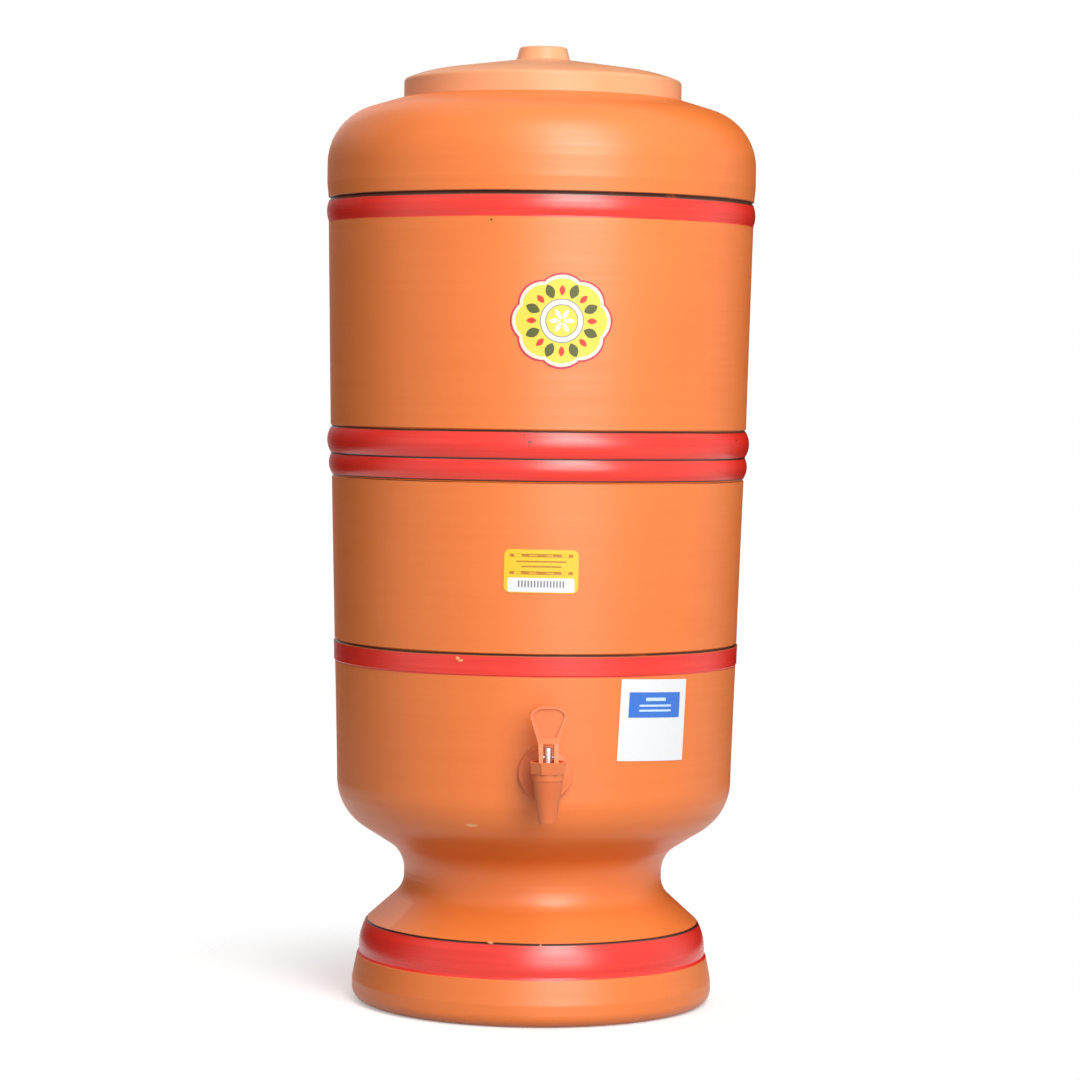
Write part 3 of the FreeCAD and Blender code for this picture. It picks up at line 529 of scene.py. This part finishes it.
def make_candle_ceramic():
    """Porous white ceramic with a soft chalky surface and faint water marks."""
    shader = Shader("candle_ceramic")
    pores = shader.noise(scale=900, detail=4)
    marks = shader.noise(scale=22, detail=4, stretch=WATER_MARKS)
    shade = shader.mix(shader.ramp(marks, *WATER_MARKS_SHOW), CERAMIC, CERAMIC_MARKED)
    shader.bump(pores, CERAMIC_RELIEF)
    shader.set(Base_Color=shade, Roughness=shader.ramp(pores, *EVEN, *CERAMIC_ROUGHNESS))
    return shader.material


def make_print(name, colour, deep):
    """Printed paper: a faint fibre in the colour and in the surface."""
    shader = Shader(name)
    fibre = shader.noise(scale=1400, detail=4)
    shade = shader.mix(shader.ramp(fibre, *HIGHEST), colour, deep)
    shader.bump(fibre, PRINT_RELIEF)
    shader.set(Base_Color=shade, Roughness=shader.ramp(fibre, *EVEN, *PRINT_ROUGHNESS))
    return shader.material


def smooth_by_angle(mesh):
    """Smooth shading, apart from edges that turn by SMOOTH_LIMIT degrees or more."""
    work = bmesh.new()
    work.from_mesh(mesh)
    for face in work.faces:
        face.smooth = True
    for edge in work.edges:
        turn = math.degrees(edge.calc_face_angle(0))
        edge.smooth = len(edge.link_faces) == 2 and turn < SMOOTH_LIMIT
    work.to_mesh(mesh)
    work.free()


# Labels. Their drawings are in metres: across to the right and up from the label's centre
def resample(corners, step):
    """The closed outline with points no further apart than step."""
    points = []
    for start, end in zip(corners, corners[1:] + corners[:1]):
        pieces = max(1, math.ceil((Vector(end) - Vector(start)).length / step))
        points += [tuple(Vector(start).lerp(Vector(end), i / pieces)) for i in range(pieces)]
    return points


def circle(diameter, count=64):
    turns = [2 * math.pi * i / count for i in range(count)]
    return [(diameter / 2 * math.cos(turn), diameter / 2 * math.sin(turn)) for turn in turns]


def lobed(width, height, lobes, depth, count=192):
    """An ellipse whose edge swells outwards lobes times, by depth of its size."""
    points = []
    for i in range(count):
        turn = 2 * math.pi * i / count
        swell = 1 - depth * (1 - abs(math.cos(lobes * turn / 2)) ** FULLNESS)
        points.append((width / 2 * swell * math.cos(turn), height / 2 * swell * math.sin(turn)))
    return points


def rounded_box(width, height, round_radius, centre=(0, 0), steps=6):
    """A box with rounded corners, each drawn in this many steps."""
    points = []
    for corner, (sx, sy) in enumerate(((1, 1), (-1, 1), (-1, -1), (1, -1))):
        for i in range(steps + 1):
            turn = math.pi / 2 * (corner + i / steps)
            points.append((
                centre[0] + sx * (width / 2 - round_radius) + round_radius * math.cos(turn),
                centre[1] + sy * (height / 2 - round_radius) + round_radius * math.sin(turn),
            ))
    return points


def leaf(start, end, width, turn, count=10):
    """A pointed leaf from radius start to radius end, turned about the label's centre."""
    side = []
    for i in range(count + 1):
        along = i / count
        side.append((start + (end - start) * along, width / 2 * math.sin(math.pi * along) ** FULLNESS))
    outline = side + [(a, -b) for a, b in side[-2:0:-1]]
    sine, cosine = math.sin(turn), math.cos(turn)
    return [(a * cosine - b * sine, a * sine + b * cosine) for a, b in outline]


def bridge(work, first, second):
    """Quads between two closed loops with as many points each."""
    count = len(first)
    for i in range(count):
        j = (i + 1) % count
        work.faces.new((first[i], first[j], second[j], second[i]))


def add_plate(work, label, outer, inner, lift, thickness, rings):
    """Rings of quads between an outline and an inner one or the middle, on both sides, with a rim."""
    count = len(outer)
    middle = (sum(p[0] for p in outer) / count, sum(p[1] for p in outer) / count)
    sides = []
    for level in (lift + thickness, lift):
        loops = []
        for ring in range(rings + 1):
            if inner is None and ring == rings:
                break
            loop = []
            for i in range(count):
                goal = Vector(inner[i]) if inner else Vector(middle)
                across, up = Vector(outer[i]).lerp(goal, ring / rings)
                loop.append(work.verts.new(label.at(across, up, level)))
            loops.append(loop)
        for first, second in zip(loops, loops[1:]):
            bridge(work, first, second)
        if inner is None:
            hub = work.verts.new(label.at(*middle, level))
            for i in range(count):
                work.faces.new((loops[-1][i], loops[-1][(i + 1) % count], hub))
        sides.append(loops)
    bridge(work, sides[0][0], sides[1][0])
    if inner is not None:
        bridge(work, sides[0][-1], sides[1][-1])


class Label:
    """A place on a wall that flat drawings are wrapped round. Its lean is in degrees, clockwise."""

    def __init__(self, wall, azimuth, height, lean, body):
        self.wall = wall
        self.turn = math.radians(azimuth)
        self.height = height
        self.lean = math.radians(lean)
        self.body = body

    def at(self, across, up, lift):
        """The point of the drawing on the wall, lifted off it."""
        turned_across = across * math.cos(self.lean) + up * math.sin(self.lean)
        turned_up = up * math.cos(self.lean) - across * math.sin(self.lean)
        (low_radius, low), (high_radius, high) = self.wall
        z = self.height + turned_up
        radius = low_radius + (z - low) / (high - low) * (high_radius - low_radius)
        turn = self.turn + turned_across / radius
        return Vector(((radius + lift) * math.sin(turn), -(radius + lift) * math.cos(turn), z))

    def plates(self, name, outlines, material, lift, thickness, rings=6):
        """Thin closed plates, each an outline or a pair of outer and inner outline, as one object."""
        work = bmesh.new()
        for shape in outlines:
            outer, inner = shape if isinstance(shape, tuple) else (shape, None)
            outer = outer if inner else resample(outer, PLATE_STEP)
            add_plate(work, self, outer, inner, lift, thickness, rings)
        mesh = bpy.data.meshes.new(name)
        bmesh.ops.recalc_face_normals(work, faces=work.faces)
        work.to_mesh(mesh)
        work.free()
        smooth_by_angle(mesh)
        piece = link_object(name, mesh)
        mesh.materials.append(material)
        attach(piece, self.body)


def make_badge(prints):
    """A lobed badge with a ring of leaves and drops round a star."""
    badge = Label(UPPER_WALL, azimuth=2.5, height=0.4267, lean=0.0, body="upper")
    wide, tall = 0.0617, 0.0570

    def lobed_plate(name, border, colour, lift, thickness):
        outline = lobed(wide - border, tall - border, lobes=8, depth=0.085)
        badge.plates(name, [outline], prints[colour], lift, thickness)

    first_ink = LABEL_GAP + PAPER
    second_ink = first_ink + INK
    third_ink = second_ink + INK
    fourth_ink = third_ink + INK
    lobed_plate("badge_edge", 0.0, "crimson", LABEL_GAP, PAPER)
    lobed_plate("badge_border", 0.0024, "cream", first_ink, INK)
    lobed_plate("badge_ground", 0.0068, "yellow", second_ink, INK)

    eighth, sixth = 2 * math.pi / 8, 2 * math.pi / 6
    leaves = [leaf(start=0.0142, end=0.0232, width=0.0056, turn=eighth * (i + 0.5)) for i in range(8)]
    badge.plates("badge_leaves", leaves, prints["olive"], third_ink, THIN_INK, rings=2)
    drops = [leaf(start=0.0150, end=0.0212, width=0.0034, turn=eighth * i) for i in range(8)]
    badge.plates("badge_drops", drops, prints["scarlet"], third_ink, THIN_INK, rings=2)

    disc, centre, line = 0.0262, 0.0186, 0.0010
    badge.plates("badge_disc", [circle(disc)], prints["white"], third_ink, INK)
    circles = [(circle(disc), circle(disc - line)), (circle(centre + line), circle(centre))]
    badge.plates("badge_rings", circles, prints["grey"], fourth_ink, THIN_INK, rings=1)
    badge.plates("badge_centre", [circle(centre)], prints["yellow"], fourth_ink, THIN_INK)
    star = [leaf(start=0.0010, end=0.0078, width=0.0026, turn=sixth * i) for i in range(6)]
    badge.plates("badge_star", star, prints["white"], fourth_ink + THIN_INK, THIN_INK, rings=2)


def make_note(prints):
    """A small yellow label with plain rules, and a white strip with a row of strokes."""
    note = Label(LOWER_WALL, azimuth=-1.9, height=0.2776, lean=0.4, body="base")
    first_ink = LABEL_GAP + PAPER
    paper = [rounded_box(0.0446, 0.0259, 0.0036)]
    note.plates("note_paper", paper, prints["golden"], LABEL_GAP, PAPER)
    strip = [rounded_box(0.0400, 0.0084, 0.0012, (0, -0.0082))]
    note.plates("note_strip", strip, prints["white"], first_ink, INK)
    rules = [
        rounded_box(0.0380, 0.0019, 0.0006, (0, 0.0094)),
        rounded_box(0.0300, 0.0009, 0.0004, (0, 0.0058)),
        rounded_box(0.0240, 0.0009, 0.0004, (0, 0.0028)),
        rounded_box(0.0380, 0.0019, 0.0006, (0, -0.0010)),
    ]
    note.plates("note_rules", rules, prints["amber"], first_ink, INK, rings=2)
    count, pitch = 15, 0.0019
    bars = [
        rounded_box(0.0009, 0.0040, 0.0003, (pitch * (i - count // 2), -0.0076)) for i in range(count)
    ]
    note.plates("note_bars", bars, prints["ink"], first_ink + INK, THIN_INK, rings=1)


def make_tag(prints):
    """A white card beside the tap, with a blue panel and three pale bars."""
    tag = Label(LOWER_WALL, azimuth=31.9, height=0.1873, lean=1.9, body="base")
    first_ink = LABEL_GAP + CARD
    card = [rounded_box(0.0490, 0.0495, 0.0006)]
    tag.plates("tag_paper", card, prints["white"], LABEL_GAP, CARD, rings=10)
    middle = 0.0004
    panel = [rounded_box(0.0382, 0.0154, 0.0004, (middle, 0.0092))]
    tag.plates("tag_panel", panel, prints["blue"], first_ink, INK)
    bars = [
        rounded_box(0.0150, 0.0020, 0.0006, (middle, 0.0126)),
        rounded_box(0.0240, 0.0012, 0.0005, (middle, 0.0088)),
        rounded_box(0.0240, 0.0012, 0.0005, (middle, 0.0058)),
    ]
    tag.plates("tag_bars", bars, prints["pale_blue"], first_ink + INK, THIN_INK, rings=2)


def make_labels():
    prints = {name: make_print("label_" + name, *tones) for name, tones in PRINTS.items()}
    make_badge(prints)
    make_note(prints)
    make_tag(prints)


def dress_nodes():
    """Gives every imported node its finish."""
    finishes = {
        "clay": make_vessel_paint(),
        "lid_plastic": make_moulding("lid_moulding", LID, LID_DEEP, 0.40, SOFT_MOULDING_SPECULAR),
        "tap_plastic": make_moulding("tap_moulding", TAP, TAP_DEEP, 0.38, SOFT_MOULDING_SPECULAR),
        "white_plastic": make_moulding("white_moulding", FITTING, FITTING_DEEP, 0.45),
        "float_plastic": make_moulding("float_moulding", FLOAT, FLOAT_DEEP, 0.38),
        "steel": make_steel(),
        "seal_rubber": make_rubber(),
        "candle_ceramic": make_candle_ceramic(),
    }
    slot_of = {part["node"]: part["material_slot"] for part in frame["record"]["subparts"]}
    for name, node in frame["nodes"].items():
        node.data.materials.clear()
        node.data.materials.append(finishes[slot_of[name]])


def make_spring():
    """The tap's spring: its own copy of the packed coil, carried by the base in place of it."""
    packed = frame["nodes"]["return_spring"]
    coil = link_object("tap_spring", packed.data.copy())
    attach(coil, "base")
    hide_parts("return_spring")
    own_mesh(coil)


# Camera and studio
def make_camera():
    camera = link_object("camera", bpy.data.cameras.new("camera"))
    camera.data.lens = CAMERA_LENS
    camera.data.sensor_width = SENSOR_WIDTH
    spot = around(CAMERA_AZIMUTH, CAMERA_DISTANCE, CAMERA_HEIGHT)
    aim = Matrix.Rotation(math.radians(CAMERA_AZIMUTH) + math.radians(CAMERA_PAN), 4, "Z")
    tilt = Matrix.Rotation(math.radians(90 + CAMERA_PITCH), 4, "X")
    roll = Matrix.Rotation(math.radians(CAMERA_ROLL), 4, "Z")
    camera.matrix_world = Matrix.Translation(spot) @ aim @ tilt @ roll
    bpy.context.scene.camera = camera


def make_lamp(name, azimuth, height, distance, size, power):
    """A soft rectangular lamp that faces the filter."""
    light = bpy.data.lights.new(name, "AREA")
    light.shape = "RECTANGLE"
    light.size, light.size_y = size
    light.energy = power
    lamp = link_object(name, light)
    spot = around(azimuth, distance, height)
    facing = (Vector((0, 0, LAMP_AIM_HEIGHT)) - spot).to_track_quat("-Z", "Y")
    lamp.matrix_world = Matrix.Translation(spot) @ facing.to_matrix().to_4x4()


def make_card(name, azimuth, width):
    """A black card that only gloss sees: it keeps the rounded edges from going pale."""
    work = bmesh.new()
    bmesh.ops.create_grid(work, size=0.5)
    mesh = bpy.data.meshes.new(name)
    work.to_mesh(mesh)
    work.free()
    card = link_object(name, mesh)
    spot = around(azimuth, CARD_DISTANCE, CARD_HEIGHT / 2 - CARD_BELOW_FLOOR)
    turned = Matrix.Rotation(math.radians(azimuth), 4, "Z")
    upright = Matrix.Rotation(math.radians(90), 4, "X")
    size = Matrix.Diagonal((width, CARD_HEIGHT, 1, 1))
    card.matrix_world = Matrix.Translation(spot) @ (turned @ upright) @ size
    card.visible_camera = False
    card.visible_diffuse = False
    card.visible_shadow = False
    card.visible_transmission = False
    shader = Shader(name)
    shader.set(Base_Color=(0, 0, 0, 1), Roughness=1.0, Specular_IOR_Level=0.0)
    across = shader.math("ABSOLUTE", shader.parts(shader.place)[0])
    shader.let_through(shader.ramp(across, *CARD_FADE))
    mesh.materials.append(shader.material)


def white_background_share(tree):
    """1 for what is seen directly, in gloss or through glass, and 0 for the light that falls on things."""
    path = tree.nodes.new("ShaderNodeLightPath")
    seen = path.outputs["Is Camera Ray"]
    for name in ("Is Glossy Ray", "Is Transmission Ray"):
        either = tree.nodes.new("ShaderNodeMath")
        either.operation = "MAXIMUM"
        tree.links.new(seen, either.inputs[0])
        tree.links.new(path.outputs[name], either.inputs[1])
        seen = either.outputs[0]
    return seen


def make_floor():
    """A pale disc that keeps the filter's shadow and fades into the white surroundings."""
    work = bmesh.new()
    bmesh.ops.create_circle(work, cap_ends=True, segments=96, radius=FLOOR_RADIUS)
    mesh = bpy.data.meshes.new("floor")
    work.to_mesh(mesh)
    work.free()
    floor = link_object("floor", mesh)
    shader = Shader("floor")
    seen = white_background_share(shader.tree)
    colour = shader.mix(seen, FLOOR_IN_LIGHT, FLOOR_IN_VIEW)
    shader.set(Base_Color=colour, Roughness=FLOOR_ROUGHNESS)
    shader.set(Emission_Color=(1, 1, 1, 1), Emission_Strength=shader.multiply(seen, FLOOR_LIFT))
    shader.let_through(shader.ramp(shader.length(shader.place), *FLOOR_FADE))
    mesh.materials.append(shader.material)


def make_world():
    """Even light on the filter; what the camera, gloss and glass see is white."""
    world = bpy.data.worlds.new("studio")
    world.use_nodes = True
    nodes, links = world.node_tree.nodes, world.node_tree.links
    level = nodes.new("ShaderNodeMix")
    links.new(white_background_share(world.node_tree), level.inputs["Factor"])
    level.inputs["A"].default_value = WORLD_LEVEL
    level.inputs["B"].default_value = WORLD_IN_VIEW
    background = nodes["Background"]
    background.inputs["Color"].default_value = (1, 1, 1, 1)
    links.new(level.outputs["Result"], background.inputs["Strength"])
    bpy.context.scene.world = world


def make_studio():
    make_world()
    make_floor()
    for lamp in LAMPS:
        make_lamp(*lamp)
    for card in CARDS:
        make_card(*card)


make_camera()
make_studio()
dress_nodes()
make_spring()
make_labels()
bpy.context.scene.view_settings.view_transform = "Standard"
